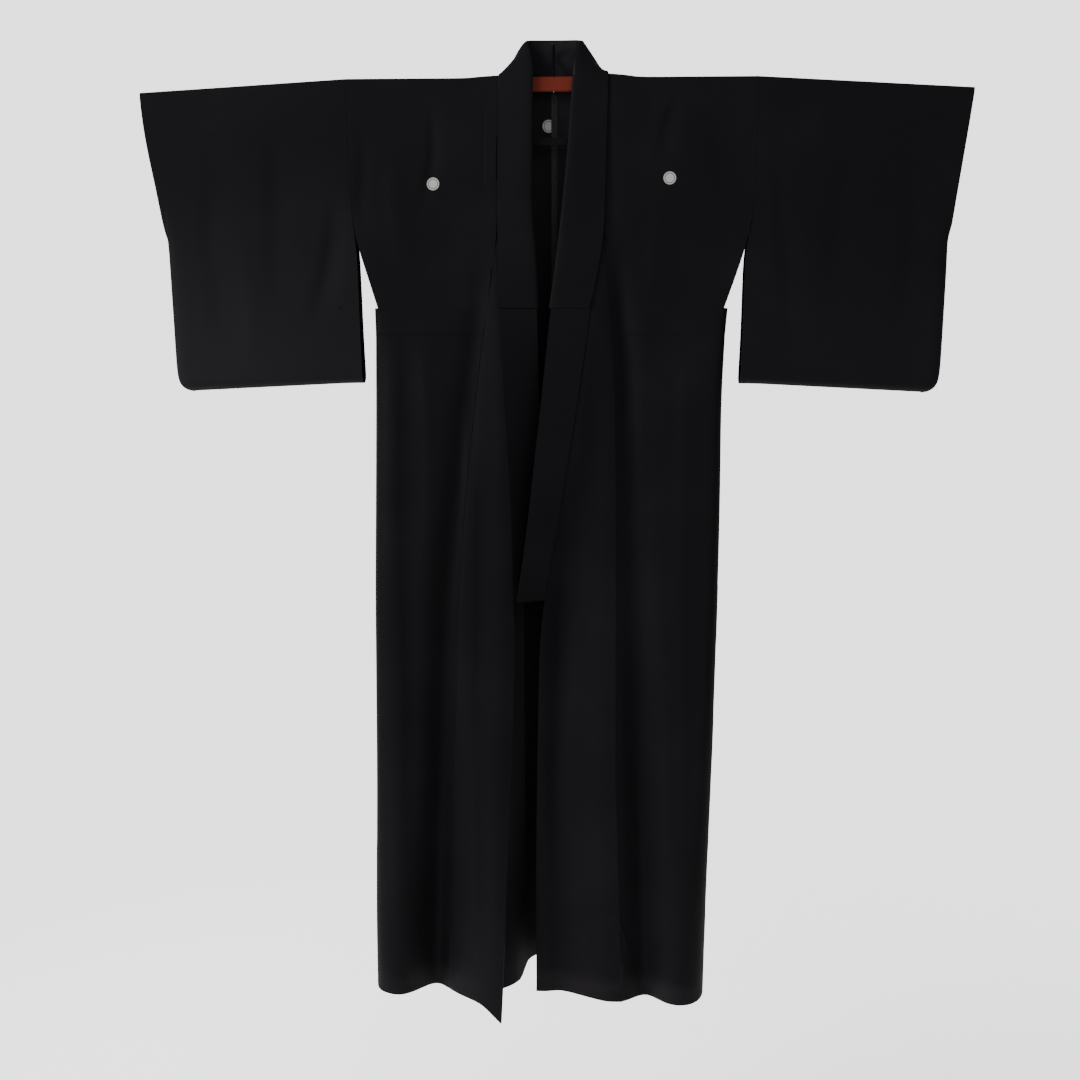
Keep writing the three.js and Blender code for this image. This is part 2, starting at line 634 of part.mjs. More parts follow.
// A bar along X: a flat section with a round top, as high as given, through stations of its top line. Half is
// half its thickness at a station where it isn't that of the arms.
function roundTopped(stations, height) {
  const ring = ({ x, z, half = ARM_HALF }) => {
    const round = [0, ...ARM_TURNS, 180].map((turn) => new THREE.Vector3(
      x, -half * Math.cos(radians(turn)), z - half + half * Math.sin(radians(turn))));
    const low = z - height;
    return [...round, new THREE.Vector3(x, half, low + BAR_CHAMFER),
      new THREE.Vector3(x, half - BAR_CHAMFER, low), new THREE.Vector3(x, BAR_CHAMFER - half, low),
      new THREE.Vector3(x, -half, low + BAR_CHAMFER)];
  };
  return loft(stations.map(ring));
}

function hanger(add) {
  const red = { color: 0x87301e, roughness: 0.5 };
  const dark = { color: 0x2b2b2e, roughness: 0.5 };
  const top = -CLOTH / 2 - SEAM;
  const middle = top + BAR_MIDDLE_RISE;
  const halfBar = [
    { x: BAR_MIDDLE, z: middle, half: BAR_MIDDLE_HALF },
    { x: BAR_MIDDLE + BAR_RISE_RUN, z: top, half: BAR_MIDDLE_HALF },
    { x: BAR_THIN_END, z: top, half: BAR_MIDDLE_HALF },
    { x: BAR_THICK_FROM, z: top },
    { x: BAR_HALF_LENGTH, z: top },
  ];
  const otherHalf = halfBar.map((station) => ({ ...station, x: -station.x })).reverse();
  add('hanger_bar', roundTopped([...otherHalf, ...halfBar], BAR_HEIGHT), red);
  for (const side of [RIGHT, LEFT]) {
    const shoulder = Math.abs(read(side.sections, -5, 'side'));
    const slope = CUFF_DROOP / (CUFF_X - shoulder);
    const start = BAR_HALF_LENGTH + SEAM;
    const stations = [
      { x: side.sign * start, z: top },
      { x: side.sign * shoulder, z: top },
      { x: side.sign * ARM_END, z: top + slope * (ARM_END - shoulder) },
    ];
    if (side.sign < 0) stations.reverse();
    add(`hanger_arm_${side.name}`, roundTopped(stations, ARM_HEIGHT), red);
  }
  const path = new THREE.CurvePath();
  const crown = HOOK_DROP - HOOK_RADIUS;
  const radius = HOOK_RADIUS + WIRE;
  const point = (y, z) => new THREE.Vector3(0, y, z);
  const onCrown = (angle) => point(radius * Math.cos(radians(angle)), crown + radius * Math.sin(radians(angle)));
  path.add(new THREE.LineCurve3(point(0, middle + SEAM), point(0, 6)));
  path.add(new THREE.QuadraticBezierCurve3(point(0, 6), point(0, 12), onCrown(-50)));
  path.add(new THREE.CatmullRomCurve3([-50, -25, 0, 30, 60, 90, 120, 150, 180, 205].map(onCrown)));
  const wire = new THREE.Shape().absarc(0, 0, WIRE, 0, Math.PI * 2);
  const sweep = { steps: 36, curveSegments: 4, extrudePath: path, bevelEnabled: false };
  add('hook', new THREE.ExtrudeGeometry(wire, sweep), { color: 0x202022, roughness: 0.4, metalness: 0.6 });
  const lower = new THREE.BoxGeometry(2 * LOWER_BAR_HALF_LENGTH, 2 * LOWER_BAR_HALF_DEPTH, LOWER_BAR_HEIGHT);
  lower.translate(0, 0, LOWER_BAR_TOP - LOWER_BAR_HEIGHT / 2);
  add('lower_bar', lower, dark);
  for (const side of [RIGHT, LEFT]) {
    const upperEnd = top - BAR_HEIGHT - SEAM;
    const length = upperEnd - LOWER_BAR_TOP - SEAM;
    const link = new THREE.BoxGeometry(LINK_WIDTH, 2 * LOWER_BAR_HALF_DEPTH, length);
    link.translate(side.sign * (LOWER_BAR_HALF_LENGTH - LINK_INSET), 0, LOWER_BAR_TOP + SEAM + length / 2);
    add(`lower_bar_link_${side.name}`, link, dark);
  }
}

const kimono = new THREE.Group();
kimono.position.z = -HOOK_DROP;
const silk = { color: 0x141517, roughness: 0.85 };

function add(name, geometry, look) {
  const mesh = new THREE.Mesh(geometry, new THREE.MeshStandardMaterial({ metalness: 0, ...look }));
  mesh.name = name;
  kimono.add(mesh);
}

const halves = {};
for (const side of [RIGHT, LEFT]) {
  const panel = bodyPanel(side);
  const overlap = okumi(side);
  add(`body_${side.name}`, panel.wall(CLOTH), silk);
  add(`okumi_${side.name}`, overlap.wall(CLOTH), silk);
  add(`sleeve_${side.name}`, sleeve(side).wall(CLOTH), silk);
  halves[side.name] = collarStations(side, panel, overlap);
}
const centreBack = {
  seam: new THREE.Vector3(0, backDepth(0, -5), -5),
  normal: new THREE.Vector3(0, 1, 0),
  fold: new THREE.Vector3(0, NECK_DEPTH, COLLAR_HEIGHT),
};
const band = collar(halves.right, halves.left, centreBack);
add('collar', band.wall(BAND), silk);
add('over_collar', overCollar(band).wall(OVER_BAND), silk);
add('back_tape', backTape().wall(TAPE), silk);
hanger(add);

export default kimono;
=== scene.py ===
"""A mourning kimono on its hanger: black unlined silk with white crests, hung by the hook."""
import math

import bmesh
import bpy
import numpy as np
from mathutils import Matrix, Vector


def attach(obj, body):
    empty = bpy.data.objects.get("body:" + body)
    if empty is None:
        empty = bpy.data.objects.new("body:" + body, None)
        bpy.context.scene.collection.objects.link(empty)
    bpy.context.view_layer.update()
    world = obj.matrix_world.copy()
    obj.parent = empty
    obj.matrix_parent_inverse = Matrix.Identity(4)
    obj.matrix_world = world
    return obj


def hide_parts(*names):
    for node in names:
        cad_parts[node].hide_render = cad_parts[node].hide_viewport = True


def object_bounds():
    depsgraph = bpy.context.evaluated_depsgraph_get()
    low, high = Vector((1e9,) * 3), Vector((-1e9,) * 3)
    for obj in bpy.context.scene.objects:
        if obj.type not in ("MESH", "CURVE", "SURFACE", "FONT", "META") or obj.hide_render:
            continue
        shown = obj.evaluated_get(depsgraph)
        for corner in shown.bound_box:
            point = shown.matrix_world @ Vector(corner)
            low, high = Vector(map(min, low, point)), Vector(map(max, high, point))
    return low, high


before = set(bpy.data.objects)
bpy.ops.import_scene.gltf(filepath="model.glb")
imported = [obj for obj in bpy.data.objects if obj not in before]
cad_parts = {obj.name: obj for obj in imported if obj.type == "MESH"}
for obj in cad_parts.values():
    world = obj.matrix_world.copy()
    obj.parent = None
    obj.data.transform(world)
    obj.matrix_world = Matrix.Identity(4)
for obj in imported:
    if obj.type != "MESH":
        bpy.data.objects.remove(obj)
cad_low, cad_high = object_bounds()

# Camera and studio
# A 50 mm lens stands about two and a half metres in front of the garment, a little to its left sleeve's
# side and a little above its middle, as in the photograph.
CAMERA_PLACE = Vector((0.0893, -2.5455, -0.4678))
CAMERA_TURN = math.radians(2.5)
CAMERA_DIP = math.radians(7.82)
LENS_MM = 50
SENSOR_MM = 36
GARMENT_MIDDLE = (0, 0, -0.8)
STUDIO_LIGHT = 0.62
BACKDROP_LIGHT = 2.4
WHITE = (1, 1, 1, 1)

camera = bpy.data.cameras.new("camera")
camera.lens = LENS_MM
camera.sensor_width = SENSOR_MM
camera_object = bpy.data.objects.new("camera", camera)
bpy.context.scene.collection.objects.link(camera_object)
camera_object.location = CAMERA_PLACE
look = Vector((
    -math.sin(CAMERA_TURN) * math.cos(CAMERA_DIP),
    math.cos(CAMERA_TURN) * math.cos(CAMERA_DIP),
    -math.sin(CAMERA_DIP),
))
camera_object.rotation_euler = look.to_track_quat("-Z", "Y").to_euler()
bpy.context.scene.camera = camera_object


def area_light(name, place, aim, size, power):
    """A soft square lamp that faces a point of the garment."""
    lamp = bpy.data.lights.new(name, "AREA")
    lamp.size = size
    lamp.energy = power
    lamp_object = bpy.data.objects.new(name, lamp)
    bpy.context.scene.collection.objects.link(lamp_object)
    lamp_object.location = place
    lamp_object.rotation_euler = (Vector(aim) - Vector(place)).to_track_quat("-Z", "Y").to_euler()


area_light("key_light", place=(-4.4, -2.6, 1.2), aim=GARMENT_MIDDLE, size=2.4, power=345)
area_light("fill_light", place=(1.6, -3.6, 1.2), aim=(0.1, 0, -0.8), size=2.4, power=40)
area_light("rear_light", place=(-2.8, 3.4, 1.0), aim=GARMENT_MIDDLE, size=1.6, power=330)

world = bpy.data.worlds.new("white_studio")
world.use_nodes = True
world_nodes = world.node_tree.nodes
world_links = world.node_tree.links
lighting = world_nodes["Background"]
lighting.inputs["Color"].default_value = WHITE
lighting.inputs["Strength"].default_value = STUDIO_LIGHT
backdrop = world_nodes.new("ShaderNodeBackground")
backdrop.inputs["Color"].default_value = WHITE
backdrop.inputs["Strength"].default_value = BACKDROP_LIGHT
seen = world_nodes.new("ShaderNodeLightPath")
chosen = world_nodes.new("ShaderNodeMixShader")
world_links.new(seen.outputs["Is Camera Ray"], chosen.inputs[0])
world_links.new(lighting.outputs[0], chosen.inputs[1])
world_links.new(backdrop.outputs[0], chosen.inputs[2])
world_links.new(chosen.outputs[0], world_nodes["World Output"].inputs["Surface"])
bpy.context.scene.world = world

# A pale floor below the garment, which fades out all round.
FLOOR_DROP = 0.45
FLOOR_HALF = 3
FLOOR_SQUARES = 8
FLOOR_FADE = (0.5, 2.4)
FLOOR_TONE = (0.90, 0.90, 0.90, 1)
FLOOR_TONE_LIGHT = (0.92, 0.92, 0.92, 1)
FLOOR_ROUGHNESS = 0.9
FLOOR_GLOW = 0.8
floor_mesh = bpy.data.meshes.new("floor")
floor_shape = bmesh.new()
bmesh.ops.create_grid(floor_shape, x_segments=FLOOR_SQUARES, y_segments=FLOOR_SQUARES, size=FLOOR_HALF)
bmesh.ops.translate(floor_shape, verts=floor_shape.verts, vec=(0, 0, cad_low[2] - FLOOR_DROP))
floor_shape.to_mesh(floor_mesh)
floor_shape.free()
floor_object = bpy.data.objects.new("floor", floor_mesh)
bpy.context.scene.collection.objects.link(floor_object)


class Socket:
    """A value or colour of a material, so that its maths can be written as plain expressions."""

    def __init__(self, tree, link):
        self.tree = tree
        self.link = link

    def node(self, kind, settings=None, output=0, **inputs):
        """Adds a shader node. Its inputs are given by name, or as i and a number."""
        node = self.tree.nodes.new(kind)
        for key, value in (settings or {}).items():
            setattr(node, key, value)
        for key, value in inputs.items():
            place = int(key[1:]) if key[1:].isdigit() else key
            if isinstance(value, Socket):
                self.tree.links.new(value.link, node.inputs[place])
            else:
                node.inputs[place].default_value = value
        return Socket(self.tree, node.outputs[output])

    def maths(self, operation, other=0.0, swap=False):
        first, second = (other, self) if swap else (self, other)
        return self.node("ShaderNodeMath", {"operation": operation}, i0=first, i1=second)

    def __add__(self, other):
        return self.maths("ADD", other)

    def __sub__(self, other):
        return self.maths("SUBTRACT", other)

    def __mul__(self, other):
        return self.maths("MULTIPLY", other)

    def __radd__(self, other):
        return self.maths("ADD", other, swap=True)

    def __rsub__(self, other):
        return self.maths("SUBTRACT", other, swap=True)

    def __rmul__(self, other):
        return self.maths("MULTIPLY", other, swap=True)

    def smoothly(self, low, high):
        """0 below low, 1 above high, and a soft step between."""
        return self.node("ShaderNodeMapRange", {"interpolation_type": "SMOOTHSTEP"},
                         i0=self, i1=low, i2=high, i3=0.0, i4=1.0)

    def axis(self, number):
        """The x, y or z of a place, by its number."""
        return self.node("ShaderNodeSeparateXYZ", output=number, Vector=self)

    def noise(self, scale, detail, roughness=0.5):
        """An uneven grain over a place, between 0 and 1."""
        return self.node("ShaderNodeTexNoise", Vector=self, Scale=scale, Detail=detail, Roughness=roughness)

    def vector_maths(self, operation, other, output=0):
        return self.node("ShaderNodeVectorMath", {"operation": operation}, output=output, i0=self, i1=other)

    def length(self):
        return self.node("ShaderNodeVectorMath", {"operation": "LENGTH"}, output=1, Vector=self)

    def feed(self, shader, name):
        """Gives the value to an input of a shader."""
        self.tree.links.new(self.link, shader.inputs[name])


X_AXIS = 0
Y_AXIS = 1
Z_AXIS = 2


def new_material(name):
    """A material with its shader and a socket to start expressions from."""
    material = bpy.data.materials.new(name)
    material.use_nodes = True
    shader = material.node_tree.nodes["Principled BSDF"]
    return material, shader, Socket(material.node_tree, None)


def mixed(start, share, first, second):
    """A colour between two others."""
    return start.node("ShaderNodeMix", {"data_type": "RGBA"}, output=2, i0=share, i6=first, i7=second)


def own_place(start):
    """Where a point lies in its object's own frame, in metres."""
    return start.node("ShaderNodeTexCoord", output=3)


def bumps(start, height, distance=1.0, strength=1.0):
    """The tilt of the surface that a relief gives it."""
    return start.node("ShaderNodeBump", Height=height, Distance=distance, Strength=strength)


floor_material, shader, start = new_material("pale_floor")
floor_place = own_place(start)
floor_grain = floor_place.noise(scale=3.0, detail=3.0)
mixed(start, floor_grain, FLOOR_TONE, FLOOR_TONE_LIGHT).feed(shader, "Base Color")
floor_away = floor_place.vector_maths("MULTIPLY", (1.0, 1.0, 0.0)).length()
(1.0 - floor_away.smoothly(*FLOOR_FADE)).feed(shader, "Alpha")
shader.inputs["Roughness"].default_value = FLOOR_ROUGHNESS
shader.inputs["Emission Color"].default_value = WHITE
shader.inputs["Emission Strength"].default_value = FLOOR_GLOW
floor_mesh.materials.append(floor_material)

# Body panels
# Each is one length of black summer silk, from the front hem over the shoulder to the back hem, sewn to
# itself down the side. The silk is thin and limp, so it hangs in long soft folds from the shoulder.
# Sizes are in metres. A height called below is measured down from the line of the shoulders. A pair of
# values is where a soft step starts and ends.
SHOULDER = -0.05
HEM_FROM_SHOULDER = 1.58
SILK = (0.0030, 0.0030, 0.0038, 1)
SILK_WORN = (0.0043, 0.0043, 0.0053, 1)
# Painted light: the paler tone that the sleeve fronts are painted toward, where light falls on them.
SILK_PAINTED_LIGHT = (0.0092, 0.0088, 0.0106, 1)
# Painted light: the paler tone of the wrong side where the neck and the gap show it, and of the stand at
# the nape.
SILK_INSIDE_LIT = (0.0140, 0.0138, 0.0160, 1)
# The hem's paler edge is partly wear and partly painted light, the light that shows through the thin silk.
HEM_WEAR_AND_LIGHT = (0.0098, 0.0080, 0.0092, 1)
HEM_WEAR_AND_LIGHT_EDGE = (0.022, 0.052)
HEM_WEAR_AND_LIGHT_RAGGED = 0.05
HEM_PATCH_EDGE = (0.25, 0.60)
HEM_ZONE = (-1.50, -1.48)
HEM_LIFT_COLUMNS = ("layer", "from_x", "from_soft", "to_x", "to_soft", "lift")
HEM_LIFTS = (
    ("back", -0.060, 0.015, 0.030, 0.040, 0.023),
    ("front", -0.128, 0.040, -0.040, 0.010, -0.005),
)
HEM_LIFT_TOP = 1.42
HEM_LIFT_RUN = 0.14
HEM_FOLD = 0.009
HEM_FOLD_RISE = 0.0004
HEM_FOLD_SOFT = 0.002
HEM_STRIP = 0.004
HEM_STRIPS_AVERAGED = 5
CREST_WHITE = (0.31, 0.31, 0.298, 1)
CREST_RADIUS = 0.0105
CREST_EDGE = (CREST_RADIUS - 0.0006, CREST_RADIUS + 0.0004)
CREST_RING_INNER = (0.0071, 0.0075)
CREST_RING_OUTER = (0.0082, 0.0086)
CREST_RING_SHARE = 0.85
CREST_SIDE = (-0.001, 0.001)
WEAVE_THREADS = 1100
WEAVE_DEPTH = 0.00006
WEAVE_SHARE = 0.5
SLUB_SHARE = 0.6
BLOOM_EDGE = (0.42, 0.72)
SILK_ROUGHNESS = 0.62
SLUB_ROUGHNESS = 0.12
SILK_SPECULAR = 0.06
STITCH_PITCH = 0.011
STITCH_LENGTH = 0.0016
STITCH_SOFT = 1.3
STITCH_WIDTH = (0.0004, 0.0008)
STITCH_DEPTH = 0.0002
TUCK_ROWS = (SHOULDER - 0.417, SHOULDER - 0.419)
SIDE_HALF_WIDTH = 0.3003
SIDE_SEAM_TOP = 0.375
SIDE_FLAT_START = 0.005
SIDE_FLAT_RUN = 0.09

# How folds run: the ease is how much gentler they fall on one side. They fade in and out over a length that
# grows with their depth, and they wander a little from a straight line.
FLANK_EASE = 1.7
FADE_LEAST = 0.10
FADE_FOR_DEPTH = 10
FADE_SHARE = 0.45
FOLD_OVERRUN = 1.05
WANDER = 0.004
WANDER_PACE = 7
WANDER_SHIFT = 40

# Folds of the two halves of the garment. Heights are metres below the shoulder. Depth is away from the
# viewer in front and from behind alike, so a ridge of the front and a trough of the back are negative.
FOLD_COLUMNS = ("layer", "top", "foot", "top_x", "foot_x", "width", "foot_width", "depth", "foot_depth")
RIGHT_FOLDS = [
    ("front", 0.03, 0.24, -0.196, -0.214, 0.007, 0.009, 0.0032, 0.0026),
    ("front", 0.40, 0.85, -0.212, -0.214, 0.010, 0.012, -0.0014, -0.0014),
    ("front", 0.34, 1.05, -0.206, -0.216, 0.036, 0.036, -0.0065, -0.0040),
    ("front", 0.42, 1.30, -0.250, -0.252, 0.009, 0.012, 0.0010, 0.0020),
    ("front", 0.37, 1.52, -0.276, -0.280, 0.012, 0.012, -0.0042, -0.0012),
    ("front", 0.50, 1.42, -0.146, -0.177, 0.006, 0.008, -0.0024, -0.0036),
    ("front", 0.62, 1.52, -0.128, -0.120, 0.008, 0.012, 0.0012, 0.0022),
    ("front", 1.00, 1.62, -0.124, -0.128, 0.024, 0.028, -0.0060, -0.0110),
    ("front", 1.22, 1.62, -0.100, -0.100, 0.060, 0.060, 0.0000, 0.0180),
    ("front", 0.09, 0.34, -0.268, -0.252, 0.012, 0.016, -0.0016, -0.0022),
    ("front", 0.06, 0.27, -0.322, -0.312, 0.008, 0.010, 0.0016, 0.0022),
    ("front", 0.17, 0.43, -0.356, -0.402, 0.011, 0.016, 0.0042, 0.0040),
    ("front", 0.05, 0.40, -0.470, -0.455, 0.014, 0.020, 0.0016, 0.0024),
    ("front", 0.12, 0.47, -0.575, -0.560, 0.014, 0.020, 0.0012, 0.0022),
    ("front", 0.25, 0.50, -0.520, -0.505, 0.012, 0.018, -0.0012, -0.0020),
    ("back", 0.05, 0.60, -0.150, -0.160, 0.012, 0.018, -0.0035, -0.0050),
    ("back", 0.30, 1.58, -0.255, -0.262, 0.012, 0.020, -0.0040, -0.0090),
    ("back", 0.35, 1.50, -0.075, -0.090, 0.011, 0.018, 0.0040, 0.0060),
    ("back", 0.10, 0.80, -0.210, -0.190, 0.010, 0.018, 0.0030, 0.0045),
    ("back", 0.06, 0.45, -0.420, -0.440, 0.012, 0.018, -0.0025, -0.0035),
    ("back", 0.10, 0.44, -0.560, -0.545, 0.014, 0.020, -0.0022, -0.0030),
]
LEFT_FOLDS = [
    ("front", 0.03, 0.34, 0.096, 0.092, 0.008, 0.008, 0.0022, 0.0018),
    ("front", 0.015, 0.16, 0.209, 0.168, 0.009, 0.012, 0.0036, 0.0028),
    ("front", 0.004, 0.25, 0.258, 0.302, 0.028, 0.036, 0.0046, 0.0036),
    ("front", 0.18, 0.40, 0.176, 0.164, 0.012, 0.016, -0.0016, -0.0020),
    ("front", 0.42, 1.58, 0.221, 0.232, 0.013, 0.018, -0.0022, -0.0036),
    ("front", 0.28, 1.52, 0.268, 0.272, 0.045, 0.040, -0.0066, -0.0060),
    ("front", 0.28, 0.66, 0.110, 0.130, 0.008, 0.011, 0.0036, 0.0030),
    ("front", 0.45, 1.58, 0.158, 0.170, 0.015, 0.018, 0.0026, 0.0034),
    ("front", 0.66, 1.58, 0.018, 0.015, 0.024, 0.024, 0.0150, 0.0160),
    ("front", 0.95, 1.50, 0.060, 0.056, 0.010, 0.014, 0.0010, 0.0016),
    ("front", 0.08, 0.44, 0.372, 0.392, 0.012, 0.016, 0.0020, 0.0030),
    ("front", 0.05, 0.40, 0.480, 0.465, 0.014, 0.020, 0.0014, 0.0024),
    ("front", 0.12, 0.46, 0.590, 0.580, 0.014, 0.018, 0.0014, 0.0022),
    ("back", 0.05, 0.70, 0.120, 0.128, 0.012, 0.020, -0.0035, -0.0050),
    ("back", 0.25, 1.58, 0.232, 0.242, 0.012, 0.020, 0.0045, 0.0080),
    ("back", 0.50, 1.58, 0.080, 0.086, 0.012, 0.020, -0.0040, -0.0080),
    ("back", 0.10, 0.90, 0.292, 0.280, 0.010, 0.016, -0.0030, -0.0040),
    ("back", 0.06, 0.45, 0.430, 0.450, 0.012, 0.018, -0.0025, -0.0035),
    ("back", 0.10, 0.44, 0.570, 0.550, 0.014, 0.020, -0.0022, -0.0030),
]

# Short sharp creases, pressed in while the garment lay folded: from and to, as (x, below the shoulder),
# then half the width and the depth, which is negative for a raised one.
CREASE_FADE_IN = (-0.05, 0.25)
CREASE_FADE_OUT = (0.6, 1.05)
CREASE_BACK_LIMIT = (0.026, 0.032)
CREASES = [
    ((-0.1134, 0.040), (-0.1146, 0.200), 0.0040, 0.0005),
    ((-0.358, 0.374), (-0.338, 0.380), 0.0040, 0.0010),
    ((0.1164, 1.428), (0.0688, 1.474), 0.0050, 0.0013),
    ((0.0688, 1.474), (0.0439, 1.483), 0.0040, 0.0008),
    ((0.1190, 1.432), (0.1358, 1.500), 0.0040, -0.0010),
    ((0.0174, 1.524), (0.0174, 1.540), 0.0030, -0.0008),
]


# Making the cloth
# Angles between faces are in radians where the shape is joined into squares.
WELD = 2e-6
SQUARE_ANGLE = 1.2
SQUARE_SHAPE = 1.4
CUT_EDGE_ANGLE = math.radians(55)
SHARP_ANGLE = math.radians(42)
TUCK_CLOSE = 0.0005
TUCK_CRISPNESS = 0.8
LEVEL_NORMAL = 0.8


def cloth_from(node, levels=2, pressed_rows=(), finer_front=None):
    """A finer copy of a cloth piece: its faces become smooth ones, its cut edges and tucks stay crisp.

    Faces that finer_front picks are cut once more.
    """
    shape = bmesh.new()
    shape.from_mesh(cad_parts[node].data)
    bmesh.ops.remove_doubles(shape, verts=shape.verts, dist=WELD)
    bmesh.ops.join_triangles(
        shape, faces=shape.faces, angle_face_threshold=SQUARE_ANGLE, angle_shape_threshold=SQUARE_SHAPE)
    rim = shape.edges.layers.float.new("crease_edge")
    for edge in shape.edges:
        if len(edge.link_faces) == 2 and edge.calc_face_angle(0) > CUT_EDGE_ANGLE:
            edge[rim] = 1.0
        elif any(all(abs(end.co.z - row) < TUCK_CLOSE for end in edge.verts) for row in pressed_rows):
            edge[rim] = TUCK_CRISPNESS
    mesh = bpy.data.meshes.new(f"{node}_cloth")
    shape.to_mesh(mesh)
    shape.free()
    piece = bpy.data.objects.new(f"{node}_cloth", mesh)
    bpy.context.scene.collection.objects.link(piece)
    finer = piece.modifiers.new("finer", "SUBSURF")
    finer.levels = levels
    finer.render_levels = levels
    bpy.context.view_layer.update()
    smoothed = piece.evaluated_get(bpy.context.evaluated_depsgraph_get())
    smooth_mesh = bpy.data.meshes.new_from_object(smoothed)
    piece.modifiers.clear()
    piece.data = smooth_mesh
    bpy.data.meshes.remove(mesh)
    if finer_front:
        shape = bmesh.new()
        shape.from_mesh(smooth_mesh)
        centres = np.array([face.calc_center_median() for face in shape.faces])
        chosen = finer_front(centres[:, 0], centres[:, 1], SHOULDER - centres[:, 2])
        edges = list({edge for face, finer in zip(shape.faces, chosen) if finer for edge in face.edges})
        bmesh.ops.subdivide_edges(shape, edges=edges, cuts=1, use_grid_fill=True)
        shape.to_mesh(smooth_mesh)
        shape.free()
    for face in smooth_mesh.polygons:
        face.use_smooth = True
    smooth_mesh.set_sharp_from_angle(angle=SHARP_ANGLE)
    return piece


def soft_step(value):
    """0 up to 0, 1 from 1 on, and a soft step between."""
    value = np.clip(value, 0.0, 1.0)
    return value * value * (3 - 2 * value)


def points_of(mesh, what="co"):
    """The places or normals of a mesh's points, as one row for each point."""
    values = np.empty(len(mesh.vertices) * 3)
    mesh.vertices.foreach_get(what, values)
    return values.reshape(-1, 3)


def move_points(mesh, points):
    """Puts every point of a mesh at a new place."""
    mesh.vertices.foreach_set("co", points.ravel())
    mesh.update()


def press_folds(piece, folds, is_front):
    """Moves the cloth into soft troughs (positive depth) and ridges, each fading in and out on its length.

    Every fold falls more gently on the side of the left sleeve than on the other.
    """
    points = points_of(piece.data)
    x, y, z = points.T
    below = SHOULDER - z
    front = is_front(x, y, below)
    moved = np.zeros(len(points))
    for fold in (dict(zip(FOLD_COLUMNS, row)) for row in folds):
        layer = front if fold["layer"] == "front" else ~front
        length = fold["foot"] - fold["top"]
        along = np.clip((below - fold["top"]) / length, 0, FOLD_OVERRUN)
        centre = fold["top_x"] + (fold["foot_x"] - fold["top_x"]) * along
        wander = WANDER * np.sin(WANDER_PACE * along + WANDER_SHIFT * fold["top_x"])
        width = fold["width"] + (fold["foot_width"] - fold["width"]) * along
        across = (x - centre - wander) / width
        across = np.where(across > 0, across / FLANK_EASE, across)
        fade = min(FADE_LEAST + FADE_FOR_DEPTH * abs(fold["depth"]), FADE_SHARE * length)
        ends = soft_step(along * length / fade)
        if fold["foot"] < HEM_FROM_SHOULDER:
            ends = ends * soft_step((1 - along) * length / fade)
        depth = fold["depth"] + (fold["foot_depth"] - fold["depth"]) * along
        moved += np.where(layer, ends * depth * np.exp(-across * across), 0)
    points[:, 1] += moved
    move_points(piece.data, points)


def flatten_side_top(piece):
    """Just under the open side the cloth lies flat, where the seam that closes the side begins."""
    points = points_of(piece.data)
    x, y, z = points.T
    below = SHOULDER - z
    over = np.maximum(np.abs(x) - SIDE_HALF_WIDTH, 0)
    eased = 1 - soft_step((below - SIDE_SEAM_TOP) / SIDE_FLAT_RUN)
    flat = eased * (below > SIDE_SEAM_TOP - SIDE_FLAT_START)
    points[:, 0] -= np.sign(x) * over * flat
    move_points(piece.data, points)


def lift_hem(piece, is_front):
    """Behind the gap of the fronts the back is drawn up, and the free corner of a front drops."""
    points = points_of(piece.data)
    x, y, z = points.T
    below = SHOULDER - z
    front = is_front(x, y, below)
    low = soft_step((below - HEM_LIFT_TOP) / HEM_LIFT_RUN)
    for lift in (dict(zip(HEM_LIFT_COLUMNS, row)) for row in HEM_LIFTS):
        begun = soft_step((x - lift["from_x"]) / lift["from_soft"])
        ended = soft_step((lift["to_x"] - x) / lift["to_soft"])
        layer = front if lift["layer"] == "front" else ~front
        points[:, 2] += np.where(layer, lift["lift"] * (begun * ended) * low, 0)
    move_points(piece.data, points)


def lay_threads(piece):
    """A UV map in metres that follows the cloth, so that the weave keeps its scale round every fold."""
    mesh = piece.data
    threads = mesh.uv_layers.new(name="threads")
    normals = np.empty(len(mesh.polygons) * 3)
    mesh.polygons.foreach_get("normal", normals)
    normals = normals.reshape(-1, 3)
    corners = np.empty(len(mesh.polygons), dtype=np.int64)
    mesh.polygons.foreach_get("loop_total", corners)
    ends = np.empty(len(mesh.loops), dtype=np.int64)
    mesh.loops.foreach_get("vertex_index", ends)
    facing = np.repeat(normals, corners, axis=0)
    places = points_of(mesh)[ends]
    flat = np.abs(facing[:, 2]) > LEVEL_NORMAL
    sideways = ~flat & (np.abs(facing[:, 0]) > np.abs(facing[:, 1]))
    wide = np.where(sideways, places[:, 1], places[:, 0])
    tall = np.where(flat, places[:, 1], places[:, 2])
    threads.data.foreach_set("uv", np.stack([wide, tall], axis=1).ravel())


def fold_hem(piece, is_front):
    """Thickens the folded hem by a thread or two, and keeps how far above the hem each point lies."""
    mesh = piece.data
    points = points_of(mesh)
    normals = points_of(mesh, "normal")
    front = is_front(points[:, 0], points[:, 1], SHOULDER - points[:, 2])
    above = np.zeros(len(points))
    for layer in (front, ~front):
        if not layer.any():
            continue
        strips = np.round(points[layer, 0] / HEM_STRIP).astype(int)
        strips -= strips.min()
        lowest = np.full(strips.max() + 1, np.inf)
        np.minimum.at(lowest, strips, points[layer, 2])
        filled = np.isfinite(lowest)
        lowest = np.interp(np.arange(len(lowest)), np.flatnonzero(filled), lowest[filled])
        padded = np.pad(lowest, HEM_STRIPS_AVERAGED // 2, mode="edge")
        lowest = np.convolve(padded, np.full(HEM_STRIPS_AVERAGED, 1 / HEM_STRIPS_AVERAGED), mode="valid")
        above[layer] = points[layer, 2] - lowest[strips]
    rise = HEM_FOLD_RISE * soft_step((HEM_FOLD - above) / HEM_FOLD_SOFT)
    points += normals * rise[:, None]
    above_hem = mesh.attributes.new("above_hem", "FLOAT", "POINT")
    above_hem.data.foreach_set("value", above)
    move_points(mesh, points)


